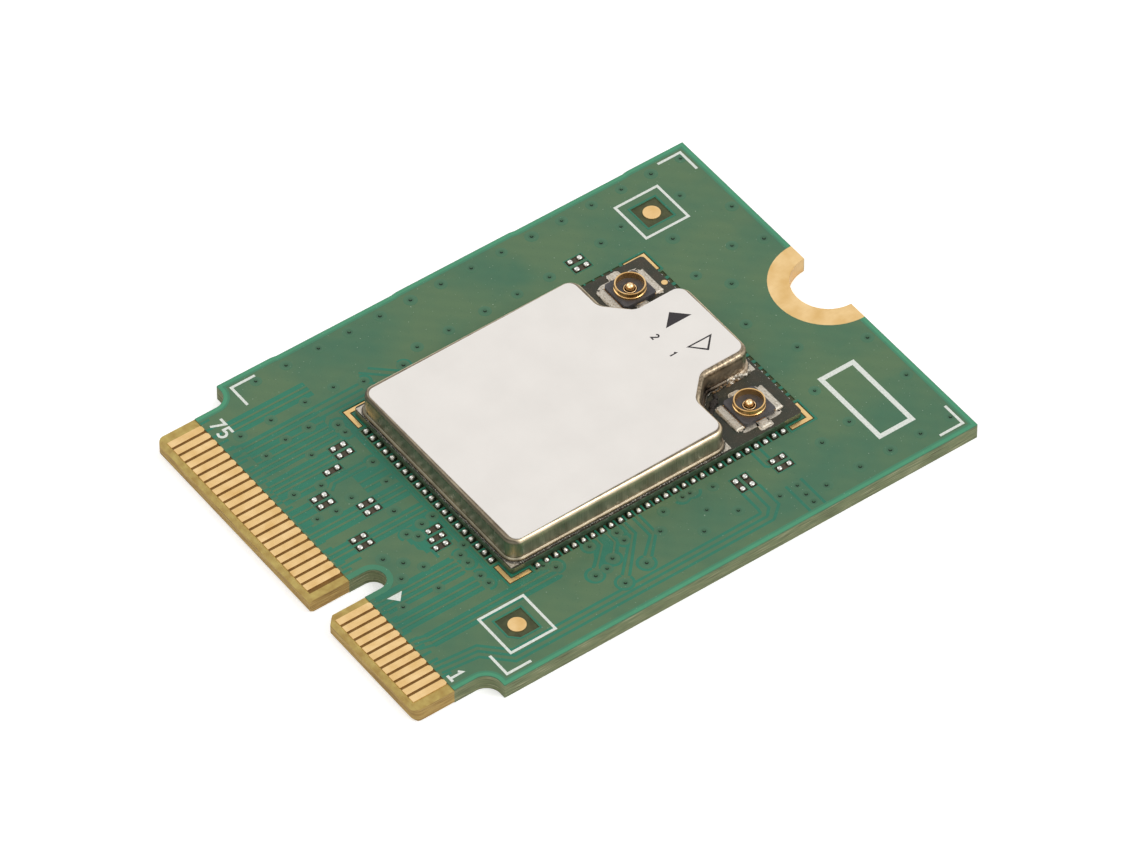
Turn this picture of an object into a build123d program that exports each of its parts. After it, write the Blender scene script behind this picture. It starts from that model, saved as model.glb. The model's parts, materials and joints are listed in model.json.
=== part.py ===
"""Wireless network card: a 22 x 30 mm plug-in board with a soldered radio module.

Frame: millimetres, origin under the middle of the card, +X across the edge
connector towards contact 1, +Y from the edge connector to the screw notch, +Z up.
"""
from build123d import *
import math
import os

os.makedirs("parts", exist_ok=True)

# Carrier board outline
board_width = 22.0
board_length = 30.0
board_thickness = 0.80
tongue_width = 19.85
tongue_length = 4.0
tongue_corner_radius = 0.40
shoulder_radius = 0.75
bevel_length = 0.25
bevel_height = 0.16
board_corner_radius = 0.05
coat_thickness = 0.04
coat_end = 2.10
break_land_depth = 0.05
break_land_slope = 0.30
break_recesses = ((6.95, 13.85), (20.15, 26.80))

# Key slot in the tongue
key_slot_x = 2.625
key_slot_width = 1.20
key_slot_depth = 3.55
key_mouth_chamfer = 0.35

# Screw notch and its plated seat
screw_notch_radius = 1.75
screw_seat_radius = 2.75

# Edge contacts
contact_pitch = 0.50
contact_width = 0.36
contact_start = 0.28
contact_corner = 0.08
first_contact_inset = 0.675
contact_edge_land = 0.50
contact_key_land = 0.40

# Radio module on the carrier
module_width = 12.0
module_length = 16.0
module_offset_y = 1.0
module_thickness = 0.30
module_standoff = 0.05
module_corner_radius = 0.20
module_pad_pitch = 0.50
module_pad_end = 1.25
joint_width = 0.30
joint_reach = 0.33
joint_height = 0.20
joint_inner_length = 0.45
joint_window_margin = 0.05
ground_joint_size = 1.6
ground_joint_pitch = 2.6
ground_joint_rows = 4
ground_joint_columns = 3

# Shield can over the radio circuits
shield_inset = 0.22
shield_shift_y = -0.05
shield_height = 1.23
shield_wall = 0.12
shield_top_radius = 0.20
shield_corner_radius = 0.62
shield_flange = 0.10
shield_bend = 0.06
shield_shoulder_back = 4.02
shield_slope_run = 1.10
shield_slope_angle = 45.0
shield_slope_radius = 0.50
shield_neck_radius = 0.66
seat_ring_height = 0.02
seat_ring_margin = 0.02
seat_ring_width = 0.42

# Label on the shield
label_inset = 0.20
label_thickness = 0.05
label_turn = 0.6

# Antenna receptacles
port_inset_x = 1.54
port_inset_y = 1.83
port_neck_gap = 1.88
port_height = 0.60
ring_radius = 0.75
ring_wall = 0.09
ring_waist = 0.05
ring_foot_height = 0.10
ring_sink = 0.10
ring_ease = 0.03
ring_lip_height = 0.15
ground_leg_width = 0.70
insulator_size = 1.74
insulator_height = 0.26
insulator_chamfer = 0.12
pin_radius = 0.10
pin_tip_radius = 0.19
pin_drop = 0.03
pin_collar_radius = 0.34
pin_collar_rise = 0.02
pin_tip_facets = (-40, 40)
ground_tab_width = 1.60
ground_tab_reach = 1.30
side_tab_width = 0.52
outboard_tab_reach = 1.33
inboard_tab_reach = 1.15
tab_thickness = 0.08
tab_root = 0.03
tab_solder_height = 0.12
tab_solder_slope = 0.06

# Components under the shield: width, length and height of each kind
radio_chip_size = (4.6, 4.6, 0.70)
front_end_size = (1.6, 2.0, 0.60)
memory_size = (2.0, 1.5, 0.50)
crystal_size = (1.2, 1.6, 0.50)
inductor_size = (1.6, 1.2, 0.65)
filter_size = (0.8, 1.6, 0.50)
capacitor_size = (0.3, 0.6, 0.30)
capacitor_pitch = 1.0

# Marks and bare pads
fiducial_radius = 0.42
fiducial_window = 1.40
fiducial_window_cut = 0.38
fiducial_frame = 2.52
left_fiducial_inset = 2.79
left_fiducial_back = 3.82
right_fiducial_inset = 2.56
right_fiducial_front = 6.52
print_line = 0.13
print_thickness = 0.015
corner_print_inset = 0.42
corner_print_arm = 1.35
corner_mark_gap = 0.33
corner_mark_arm = 1.16
corner_mark_width = 0.20
window_margin = 0.05
pin_one_radius = 0.15
pin_one_inset_x = 1.97
pin_one_inset_y = 0.21
metal_dot_thickness = 0.02

# Two-pad footprints for coupling parts, left bare with solder on each pad
footprint_span = 0.53
bump_width = 0.31
bump_height = 0.10
bump_taper = 24.0
footprint_window_width = 0.36
footprint_window_length = 0.92
footprint_clearance = 0.30
right_footprint_gaps = (1.36, 1.88)
left_footprint_gaps = (1.30, 1.83)
side_footprint_back = 2.45
turned_footprint_backs = (4.25, 4.77)
turned_footprint_gap = 1.62
footprint_columns = (
    (-9.5, 0.855), (-8.5, 0.855), (-7.5, 0.60), (-5.5, 0.25), (-4.5, 0.25), (-2.5, 0.615),
    (-1.5, 0.615), (0.5, 0.25), (1.5, 0.25), (3.5, 0.99), (4.5, 0.95), (5.5, 0.915),
)

# Slack for counting whole pitches, for finding edges on a line, and how far cutters pass a face
rounding = 0.000001
touching = 0.001
past = 1.0

# Derived levels
board_front = -board_length / 2
board_back = board_length / 2
first_contact_x = tongue_width / 2 - first_contact_inset
coat_level = board_thickness - coat_thickness
module_bottom = board_thickness + module_standoff
module_top = module_bottom + module_thickness
shield_base = module_top + seat_ring_height
shield_top = shield_base + shield_height
module_y = module_offset_y
module_front = module_y - module_length / 2
module_back = module_y + module_length / 2
port_x = module_width / 2 - port_inset_x
port_y = module_back - port_inset_y
shield_neck_half_width = port_x - port_neck_gap
port_top = module_top + port_height
insulator_top = module_top + insulator_height
fiducial_places = (
    (-board_width / 2 + left_fiducial_inset, board_back - left_fiducial_back),
    (board_width / 2 - right_fiducial_inset, board_front + right_fiducial_front),
)


def save(name, shape):
    """Write one sub-part to its own file."""
    export_step(shape, f"parts/{name}.step")


def slab(outline, bottom, top):
    """Extrude a closed plan face between two levels."""
    return Pos(0, 0, bottom) * extrude(outline, top - bottom)


def block(x0, x1, y0, y1, z0, z1):
    """Box between two corners."""
    centre = Pos((x0 + x1) / 2, (y0 + y1) / 2, (z0 + z1) / 2)
    return centre * Box(x1 - x0, y1 - y0, z1 - z0)


def plan_face(points, radii):
    """Closed face through plan points, each corner with its own radius."""
    return make_face(FilletPolyline(*points, radius=radii, close=True))


def group(solids):
    """Separate solids that share one file."""
    return Compound(children=list(solids))


def board_outline():
    """Plan of the whole carrier board, tongue included."""
    half = board_width / 2
    tongue = tongue_width / 2
    shoulder = board_front + tongue_length
    points = [
        (-half, board_back), (-half, shoulder), (-tongue, shoulder), (-tongue, board_front),
        (tongue, board_front), (tongue, shoulder), (half, shoulder), (half, board_back),
    ]
    corner = board_corner_radius
    radii = [corner, corner, shoulder_radius, tongue_corner_radius,
             tongue_corner_radius, shoulder_radius, corner, corner]
    return plan_face(points, radii)


def key_slot_cutter(bottom, top):
    """Round-ended slot with one chamfered lip at its mouth."""
    radius = key_slot_width / 2
    crown = board_front + key_slot_depth - radius
    slot = block(key_slot_x - radius, key_slot_x + radius, board_front - past, crown, bottom, top)
    slot += Pos(key_slot_x, crown, (bottom + top) / 2) * Cylinder(radius, top - bottom)
    lip_x = key_slot_x + radius
    lip = make_face(Polyline(
        (lip_x - radius, board_front - past), (lip_x + key_mouth_chamfer + past, board_front - past),
        (lip_x, board_front + key_mouth_chamfer), (lip_x - radius, board_front + key_mouth_chamfer),
        close=True,
    ))
    return slot + slab(lip, bottom, top)


def break_recess_cutter(start, end, bottom, top):
    """Shallow recess between two break-off lands on the long edge."""
    edge_x = -board_width / 2
    inner_x = edge_x + break_land_depth
    points = [
        (edge_x - past, board_front + start), (edge_x, board_front + start),
        (inner_x, board_front + start + break_land_slope), (inner_x, board_front + end - break_land_slope),
        (edge_x, board_front + end), (edge_x - past, board_front + end),
    ]
    return slab(make_face(Polyline(*points, close=True)), bottom, top)


def board_prism(bottom, top):
    """Board plan between two levels, with slot, screw notch and edge recesses."""
    low = bottom - past
    high = top + past
    prism = slab(board_outline(), bottom, top)
    prism -= key_slot_cutter(low, high)
    prism -= Pos(0, board_back, (low + high) / 2) * Cylinder(screw_notch_radius, high - low)
    for start, end in break_recesses:
        prism -= break_recess_cutter(start, end, low, high)
    return prism


def bevel_envelope():
    """Side profile that bevels the leading edge above and below."""
    front = board_front
    profile = Polyline(
        (front, bevel_height), (front + bevel_length, 0), (board_back + past, 0),
        (board_back + past, board_thickness), (front + bevel_length, board_thickness),
        (front, board_thickness - bevel_height), close=True,
    )
    face = make_face(Plane.YZ * profile)
    return extrude(face, board_width, both=True)


def seat_ring(radius, bottom, top):
    """Plated annulus round the screw notch, clipped at the board's end."""
    height = top - bottom
    level = (bottom + top) / 2
    ring = Pos(0, board_back, level) * Cylinder(radius, height)
    ring -= Pos(0, board_back, level) * Cylinder(screw_notch_radius, height + past)
    return ring & block(-radius, radius, board_back - radius, board_back, bottom, top)


def screw_seat():
    """Gold half rings round the screw notch, one on each face."""
    upper = seat_ring(screw_seat_radius, coat_level, board_thickness)
    lower = seat_ring(screw_seat_radius, 0, coat_thickness)
    return [upper, lower]


def contact_columns(first_x):
    """Contact centres across the tongue, without those that the key slot takes away."""
    reach = tongue_width / 2 - contact_edge_land
    steps = math.floor((first_x + reach) / contact_pitch + rounding) + 1
    columns = [first_x - index * contact_pitch for index in range(steps)]
    key_half = key_slot_width / 2 + contact_key_land
    return [x for x in columns if abs(x - key_slot_x) > key_half]


def top_contacts():
    """Gold fingers above, each with clipped corners at its inner end."""
    half = contact_width / 2
    start = board_front + contact_start
    end = board_front + coat_end
    clip = end - contact_corner
    outline = Polyline(
        (-half, start), (half, start), (half, clip), (half - contact_corner, end),
        (-half + contact_corner, end), (-half, clip), close=True,
    )
    finger = slab(make_face(outline), coat_level, board_thickness)
    return [Pos(x, 0, 0) * finger for x in contact_columns(first_contact_x)]


def bottom_contacts():
    """Gold fingers below, half a pitch along from those above."""
    half = contact_width / 2
    start = board_front + contact_start
    end = board_front + coat_end
    columns = contact_columns(first_contact_x - contact_pitch / 2)
    return [block(x - half, x + half, start, end, 0, coat_thickness) for x in columns]


def carrier_board():
    """Laminate with its lower coat; the upper coat is a piece of its own."""
    board = board_prism(0, coat_level) & bevel_envelope()
    board -= block(-board_width, board_width, board_front - past, board_front + coat_end, -1, coat_thickness)
    return board - screw_seat()[1]


def corner_signs():
    return [(sx, sy) for sx in (-1, 1) for sy in (-1, 1)]


def angle_mark(corner_x, corner_y, sx, sy, arm, width, bottom, top):
    """L-shaped mark whose arms run from a corner towards the middle."""
    inner_x = corner_x - sx * arm
    inner_y = corner_y - sy * arm
    along = block(min(inner_x, corner_x), max(inner_x, corner_x),
                  min(corner_y - sy * width, corner_y), max(corner_y - sy * width, corner_y), bottom, top)
    across = block(min(corner_x - sx * width, corner_x), max(corner_x - sx * width, corner_x),
                   min(inner_y, corner_y), max(inner_y, corner_y), bottom, top)
    return along + across


def module_corner_mark(sx, sy, grow, bottom, top):
    """Gold angle just outside one corner of the module."""
    corner_x = sx * (module_width / 2 + corner_mark_gap + grow)
    corner_y = module_y + sy * (module_length / 2 + corner_mark_gap + grow)
    arm = corner_mark_arm + 2 * grow
    return angle_mark(corner_x, corner_y, sx, sy, arm, corner_mark_width + 2 * grow, bottom, top)


def pad_offsets(side_length):
    """Distances of the pads on one side of the module from that side's middle."""
    steps = math.floor((side_length - 2 * module_pad_end) / module_pad_pitch + rounding)
    return [(index - steps / 2) * module_pad_pitch for index in range(steps + 1)]


def module_pad_places():
    """Pad centres on the module's edge, with the outward direction in degrees."""
    places = []
    for sign in (-1, 1):
        places += [(x, module_y + sign * module_length / 2, sign * 90) for x in pad_offsets(module_width)]
    for sign, turn in ((-1, 180), (1, 0)):
        places += [(sign * module_width / 2, module_y + y, turn) for y in pad_offsets(module_length)]
    return places


def solder_joint():
    """Fillet of solder under and beside the module's edge, pointing along +X."""
    profile = Polyline(
        (joint_reach, coat_level), (-joint_inner_length, coat_level), (-joint_inner_length, module_bottom),
        (0, module_bottom), (0, module_bottom + joint_height), close=True,
    )
    return extrude(make_face(Plane.XZ * profile), joint_width / 2, both=True)


def module_joints():
    joint = solder_joint()
    return [Pos(x, y, 0) * Rot(0, 0, turn) * joint for x, y, turn in module_pad_places()]


def joint_windows():
    """Opening in the upper coat along each side of the module, round its row of joints."""
    rows = []
    for length, depth, turn in ((module_width, module_length, 90), (module_length, module_width, 0)):
        half = max(pad_offsets(length)) + joint_width / 2 + joint_window_margin
        outer = depth / 2 + joint_reach + joint_window_margin
        inner = depth / 2 - joint_inner_length
        for side in (-1, 1):
            window = block(inner, outer, -half, half, coat_level - past, board_thickness + past)
            rows.append(Pos(0, module_y, 0) * Rot(0, 0, turn) * (window if side > 0 else Rot(0, 0, 180) * window))
    return rows


def ground_joints():
    """Solder pads under the middle of the module."""
    pads = []
    half = ground_joint_size / 2
    for row in range(ground_joint_rows):
        for column in range(ground_joint_columns):
            x = (column - (ground_joint_columns - 1) / 2) * ground_joint_pitch
            y = module_y + (row - (ground_joint_rows - 1) / 2) * ground_joint_pitch
            pads.append(block(x - half, x + half, y - half, y + half, coat_level, module_bottom))
    return pads


def footprint_places():
    """Bare two-pad footprints: middle x, middle y, turn in degrees."""
    margin = footprint_window_length / 2 + footprint_clearance
    low = board_front + coat_end + margin
    high = module_front - joint_reach - joint_window_margin - margin
    places = [(column * contact_pitch, low + share * (high - low), 90) for column, share in footprint_columns]
    right = module_width / 2
    row_y = module_back - side_footprint_back
    places += [(right + gap, row_y, 90) for gap in right_footprint_gaps]
    places += [(-right - gap, row_y, 90) for gap in left_footprint_gaps]
    places += [(right + turned_footprint_gap, module_back - back, 0) for back in turned_footprint_backs]
    return places


def solder_bump():
    """Low mound of solder on one bare pad, with sloped sides."""
    rise = board_thickness + bump_height - coat_level
    return Pos(0, 0, coat_level) * extrude(Rectangle(bump_width, bump_width), rise, taper=bump_taper)


def footprint_bumps():
    bump = solder_bump()
    bumps = []
    for x, y, turn in footprint_places():
        for side in (-1, 1):
            bumps.append(Pos(x, y, 0) * Rot(0, 0, turn) * Pos(side * footprint_span / 2, 0, 0) * bump)
    return bumps


def footprint_window(x, y, turn):
    """Opening in the upper coat round one bare footprint."""
    half_length = footprint_window_length / 2
    half_width = footprint_window_width / 2
    window = block(-half_length, half_length, -half_width, half_width, coat_level - past, board_thickness + past)
    return Pos(x, y, 0) * Rot(0, 0, turn) * window


def fiducial_opening(x, y, clipped):
    """Square opening in the coat; one has a clipped corner for the traces beside it."""
    half = fiducial_window / 2
    points = [(x - half, y + half), (x - half, y - half)]
    if clipped:
        points += [(x + half - fiducial_window_cut, y - half), (x + half, y - half + fiducial_window_cut)]
    else:
        points += [(x + half, y - half)]
    points += [(x + half, y + half)]
    return slab(make_face(Polyline(*points, close=True)), coat_level - past, board_thickness + past)


def solder_mask():
    """Green coat on the component side, open over every bare pad."""
    coat = board_prism(coat_level, board_thickness)
    coat -= block(-board_width, board_width, board_front - past, board_front + coat_end, 0, board_thickness + past)
    ring = Pos(0, board_back, board_thickness) * Cylinder(screw_seat_radius, 2)
    cutters = [ring]
    cutters += [module_corner_mark(sx, sy, window_margin, 0, board_thickness + past) for sx, sy in corner_signs()]
    cutters += joint_windows()
    cutters += [footprint_window(x, y, turn) for x, y, turn in footprint_places()]
    cutters += [fiducial_opening(x, y, x > 0) for x, y in fiducial_places]
    for pad in ground_joints():
        box = pad.bounding_box()
        cutters.append(block(box.min.X, box.max.X, box.min.Y, box.max.Y, 0, board_thickness + past))
    return coat - cutters


def fiducial_discs():
    height = board_thickness - coat_level
    return [Pos(x, y, coat_level + height / 2) * Cylinder(fiducial_radius, height) for x, y in fiducial_places]


def printed_marks():
    """White printed frames round the fiducials and angles at the board's corners."""
    low = board_thickness
    high = board_thickness + print_thickness
    half = fiducial_frame / 2
    inner = half - print_line
    marks = []
    for x, y in fiducial_places:
        frame = block(x - half, x + half, y - half, y + half, low, high)
        frame -= block(x - inner, x + inner, y - inner, y + inner, low - past, high + past)
        marks.append(frame)
    for sx, sy in corner_signs():
        corner_x = sx * (board_width / 2 - corner_print_inset)
        end_y = board_back if sy > 0 else board_front + tongue_length
        corner_y = end_y - sy * corner_print_inset
        marks.append(angle_mark(corner_x, corner_y, sx, sy, corner_print_arm, print_line, low, high))
    return marks


def module_board():
    """Small dark board of the radio module."""
    plate = Pos(0, module_y, (module_bottom + module_top) / 2) * Box(module_width, module_length, module_thickness)
    return fillet(plate.edges().filter_by(Axis.Z), module_corner_radius)


def shield_points(inset):
    """Corners of the shield's plan: wide body, sloped shoulders and a neck between the ports."""
    half = module_width / 2 - shield_inset - inset
    front = module_front + shield_inset + shield_shift_y + inset
    back = module_back - shield_inset + shield_shift_y - inset
    shoulder = module_back - shield_shoulder_back - inset
    neck = shield_neck_half_width - inset
    slope_shift = inset * math.tan(math.radians(shield_slope_angle / 2))
    slope_x = shield_neck_half_width + shield_slope_run - slope_shift
    slope_y = module_back - shield_shoulder_back + shield_slope_run - slope_shift
    right = [(half, front), (half, shoulder), (slope_x, shoulder), (neck, slope_y), (neck, back)]
    return right + [(-x, y) for x, y in reversed(right)]


def shield_outline(inset):
    """Plan of the shield with its corners rounded about the same centres at any inset."""
    outer = shield_corner_radius - inset
    notch = shield_slope_radius + inset
    radii = [outer, outer, notch, notch, shield_neck_radius - inset]
    return plan_face(shield_points(inset), radii + radii[::-1])


def shield_can():
    """Drawn can: rounded crown, thin wall and a foot turned outward."""
    bend_level = shield_base + shield_wall
    body = slab(shield_outline(0), shield_base, shield_top)
    body = fillet(body.edges().group_by(Axis.Z)[-1], shield_top_radius)
    body += slab(shield_outline(-shield_flange), shield_base, bend_level)
    wall_line = Pos(0, 0, bend_level) * shield_outline(0).wire()
    bend = [edge for edge in body.edges() if wall_line.distance_to(edge.center()) < touching]
    body = chamfer(bend, shield_bend)
    return body - slab(shield_outline(shield_wall), shield_base - past, shield_top - shield_wall)


def shield_seat():
    """Tinned ring on the module board that the shield's foot is soldered to, with square corners."""
    outer = shield_flange + seat_ring_margin
    ring = slab(make_face(Polyline(*shield_points(-outer), close=True)), module_top, shield_base)
    hole = make_face(Polyline(*shield_points(seat_ring_width - outer), close=True))
    return ring - slab(hole, module_top - past, shield_base + past)


def shield_label():
    """White label that follows the shield's crown, set on slightly askew."""
    middle_y = module_y + shield_shift_y
    label = slab(shield_outline(label_inset), shield_top, shield_top + label_thickness)
    return Pos(0, middle_y, 0) * Rot(0, 0, label_turn) * Pos(0, -middle_y, 0) * label


def port_tube():
    """Round outer contact with a waist that the plug snaps into."""
    top = port_top
    inner = ring_radius - ring_wall
    waist = ring_radius - ring_waist
    foot = insulator_top + ring_foot_height
    lip = top - ring_lip_height
    profile = Polyline(
        (inner, module_top), (ring_radius, module_top), (ring_radius, foot), (waist, foot + ring_ease),
        (waist, lip - ring_ease), (ring_radius, lip), (ring_radius - ring_ease, top), (inner, top), close=True,
    )
    return revolve(make_face(Plane.XZ * profile), Axis.Z)


def port_shell():
    """Ring on three legs with their ground tabs, stamped from one sheet."""
    half = insulator_size / 2
    leg = ground_leg_width / 2
    narrow = side_tab_width / 2
    wide = ground_tab_width / 2
    tab_top = module_top + tab_thickness
    tab_start = ring_radius - ring_wall + tab_root
    window_top = insulator_top - ring_sink
    window = block(-half, half, -half, half, module_top - past, window_top)
    window -= block(-leg, leg, -half, half, module_top - past, window_top)
    window -= block(0, half, -narrow, narrow, module_top - past, window_top)
    shell = port_tube() - window
    shell += block(-wide, wide, tab_start, half, module_top, tab_top)
    shell += block(-wide, wide, -half, -tab_start, module_top, tab_top)
    return shell + block(tab_start, half, -narrow, narrow, module_top, tab_top)


def port_pin():
    """Centre contact: flat collar, post, ball tip and a tail to the inboard side."""
    low = module_top
    collar_top = insulator_top + pin_collar_rise
    ball = port_top - pin_drop - pin_tip_radius
    tip = [(pin_tip_radius * math.cos(math.radians(turn)), ball + pin_tip_radius * math.sin(math.radians(turn)))
           for turn in pin_tip_facets]
    profile = Polyline(
        (0, low), (pin_collar_radius, low), (pin_collar_radius, collar_top), (pin_radius, collar_top),
        *tip, (0, port_top - pin_drop), close=True,
    )
    tail = block(-insulator_size / 2, 0, -side_tab_width / 2, side_tab_width / 2, low, low + tab_thickness)
    return revolve(make_face(Plane.XZ * profile), Axis.Z) + tail


def port_insulator():
    """Moulded square base with its corners cut, round the metal parts."""
    body = Pos(0, 0, module_top + insulator_height / 2) * Box(insulator_size, insulator_size, insulator_height)
    body = chamfer(body.edges().filter_by(Axis.Z), insulator_chamfer)
    bore = Pos(0, 0, module_top) * Cylinder(pin_collar_radius, 2 * insulator_height + past)
    return body - port_shell() - bore - port_pin()


def tab_solder(x0, x1, y0, y1):
    """Solder over a tab, with its upper edges sloped off."""
    lump = block(x0, x1, y0, y1, module_top, module_top + tab_solder_height)
    return chamfer(lump.edges().group_by(Axis.Z)[-1], tab_solder_slope)


def port_solder():
    half = insulator_size / 2
    wide = ground_tab_width / 2
    narrow = side_tab_width / 2
    return [
        tab_solder(-wide, wide, half, ground_tab_reach),
        tab_solder(-wide, wide, -ground_tab_reach, -half),
        tab_solder(half, outboard_tab_reach, -narrow, narrow),
        tab_solder(-inboard_tab_reach, -half, -narrow, narrow),
    ]


def port_place(side):
    """Location of one antenna port; the outboard side of the port faces +X on the right."""
    turn = 0 if side > 0 else 180
    return Pos(side * port_x, port_y, 0) * Rot(0, 0, turn)


def chip(x, y, size):
    """Component body on the module board."""
    width, length, height = size
    return block(x - width / 2, x + width / 2, y - length / 2, y + length / 2, module_top, module_top + height)


def spread(sizes, start, end):
    """Middles of parts of these sizes, set in line with equal gaps between two walls."""
    gap = (end - start - sum(sizes)) / (len(sizes) + 1)
    middles = []
    reached = start
    for size in sizes:
        middles.append(reached + gap + size / 2)
        reached += gap + size
    return middles


def chip_row(sizes, half_width, y):
    """Row of components across a room of the shield."""
    middles = spread([size[0] for size in sizes], -half_width, half_width)
    return [chip(x, y, size) for x, size in zip(middles, sizes)]


def inner_parts():
    """Components under the shield, by node name, in rows from the front wall to the neck."""
    half = module_width / 2 - shield_inset - shield_wall
    front = module_front + shield_inset + shield_shift_y + shield_wall
    shoulder = module_back - shield_shoulder_back - shield_wall
    neck_half = shield_neck_half_width - shield_wall
    neck_front = shoulder + shield_slope_run
    neck_back = module_back - shield_inset + shield_shift_y - shield_wall
    depths = [crystal_size[1], capacitor_size[1], radio_chip_size[1], capacitor_size[1]]
    power_y, front_y, chip_y, back_y = spread(depths, front, shoulder)
    power_row = chip_row([inductor_size, inductor_size, memory_size, crystal_size], half, power_y)
    chips = chip_row([front_end_size, radio_chip_size, front_end_size], half, chip_y)
    capacitor_count = math.floor(2 * half / capacitor_pitch + rounding)
    capacitors = chip_row([capacitor_size] * capacitor_count, half, front_y)
    capacitors += chip_row([capacitor_size] * capacitor_count, half, back_y)
    return {
        "radio_chip": chips[1],
        "front_end_chips": group([chips[0], chips[2]]),
        "reference_crystal": power_row[3],
        "memory_chip": power_row[2],
        "power_inductors": group(power_row[:2]),
        "module_capacitors": group(capacitors),
        "band_filters": group(chip_row([filter_size, filter_size], neck_half, (neck_front + neck_back) / 2)),
    }


def pin_one_dot():
    """Small gold disc beside the module's first pad."""
    x = -(module_width / 2 - pin_one_inset_x)
    y = module_back - pin_one_inset_y
    height = metal_dot_thickness
    return Pos(x, y, module_top + height / 2) * Cylinder(pin_one_radius, height)


save("carrier_board", carrier_board())
save("solder_mask", solder_mask())
save("screw_seat", group(screw_seat()))
save("edge_contacts_top", group(top_contacts()))
save("edge_contacts_bottom", group(bottom_contacts()))
save("fiducial_discs", group(fiducial_discs()))
save("printed_marks", group(printed_marks()))
corner_marks = [module_corner_mark(sx, sy, 0, coat_level, board_thickness) for sx, sy in corner_signs()]
save("module_corner_marks", group(corner_marks))
save("footprint_solder", group(footprint_bumps()))
save("module_solder_joints", group(module_joints()))
save("module_ground_joints", group(ground_joints()))
save("module_board", module_board())
save("pin_one_dot", pin_one_dot())
save("shield_seat", shield_seat())
save("shield_can", shield_can())
save("shield_label", shield_label())
for side, name in ((-1, "left"), (1, "right")):
    place = port_place(side)
    save(f"{name}_port_shell", place * port_shell())
    save(f"{name}_port_pin", place * port_pin())
    save(f"{name}_port_insulator", place * port_insulator())
    save(f"{name}_port_solder", group([place * lump for lump in port_solder()]))
for name, shape in inner_parts().items():
    save(name, shape)
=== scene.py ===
"""Looks of the wireless network card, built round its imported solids, in metres."""
import json
import math
import random

import bmesh
import bpy
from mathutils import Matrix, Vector


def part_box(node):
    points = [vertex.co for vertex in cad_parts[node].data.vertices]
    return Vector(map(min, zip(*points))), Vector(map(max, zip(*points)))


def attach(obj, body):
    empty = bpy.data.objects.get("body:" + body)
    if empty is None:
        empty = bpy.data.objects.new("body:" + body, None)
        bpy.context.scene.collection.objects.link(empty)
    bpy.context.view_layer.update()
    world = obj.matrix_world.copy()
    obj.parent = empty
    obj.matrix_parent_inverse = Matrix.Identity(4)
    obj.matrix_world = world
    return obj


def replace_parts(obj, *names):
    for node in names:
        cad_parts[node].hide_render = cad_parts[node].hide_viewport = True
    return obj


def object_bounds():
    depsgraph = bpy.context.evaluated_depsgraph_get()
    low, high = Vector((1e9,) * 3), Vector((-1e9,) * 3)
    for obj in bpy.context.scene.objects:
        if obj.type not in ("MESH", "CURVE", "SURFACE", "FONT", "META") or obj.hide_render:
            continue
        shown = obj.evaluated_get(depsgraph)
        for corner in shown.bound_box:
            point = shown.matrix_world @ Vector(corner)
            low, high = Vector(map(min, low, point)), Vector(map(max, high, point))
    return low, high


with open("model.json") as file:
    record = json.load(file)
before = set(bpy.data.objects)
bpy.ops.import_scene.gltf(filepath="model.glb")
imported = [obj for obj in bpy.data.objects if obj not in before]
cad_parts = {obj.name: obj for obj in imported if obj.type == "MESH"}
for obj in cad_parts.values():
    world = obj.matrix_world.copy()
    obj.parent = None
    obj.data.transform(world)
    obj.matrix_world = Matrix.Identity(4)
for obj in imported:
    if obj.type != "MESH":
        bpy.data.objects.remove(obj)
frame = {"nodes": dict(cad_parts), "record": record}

cad_low, cad_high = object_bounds()
nodes = frame["nodes"]
mm = 0.001

# Levels and edges read from the solids
mask_low, mask_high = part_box("solder_mask")
coat_top, coat_low, coat_front = mask_high.z, mask_low.z, mask_low.y
module_low, module_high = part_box("module_board")
seat_low, seat_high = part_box("screw_seat")
contacts_low, contacts_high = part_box("edge_contacts_top")
wall_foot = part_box("shield_can")[0].z
label_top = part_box("shield_label")[1].z

# Places on the card: the key slot and its bare land, the neck, and the burnt spots by the right port
key_slot_x = 2.625 * mm
key_land = 1.0 * mm
neck_start = 4.9 * mm
soot_place = (3.3 * mm, 5.9 * mm, 1.15 * mm)
char_place = (2.80 * mm, 6.25 * mm, 1.40 * mm)

# Display colours that several finishes share
coat_copper = (84, 113, 78)
coat_copper_deep = (62, 106, 78)


def linear(colour):
    """Linear colour of an 8-bit display colour."""
    channels = []
    for value in colour:
        share = value / 255
        channels.append(share / 12.92 if share <= 0.04045 else ((share + 0.055) / 1.055) ** 2.4)
    return (*channels, 1.0)


def shaded(colour, share):
    """Display colour with each channel multiplied by a share."""
    return tuple(channel * share for channel in colour)


finishes = {}  # Materials by name, filled as they are made


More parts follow.
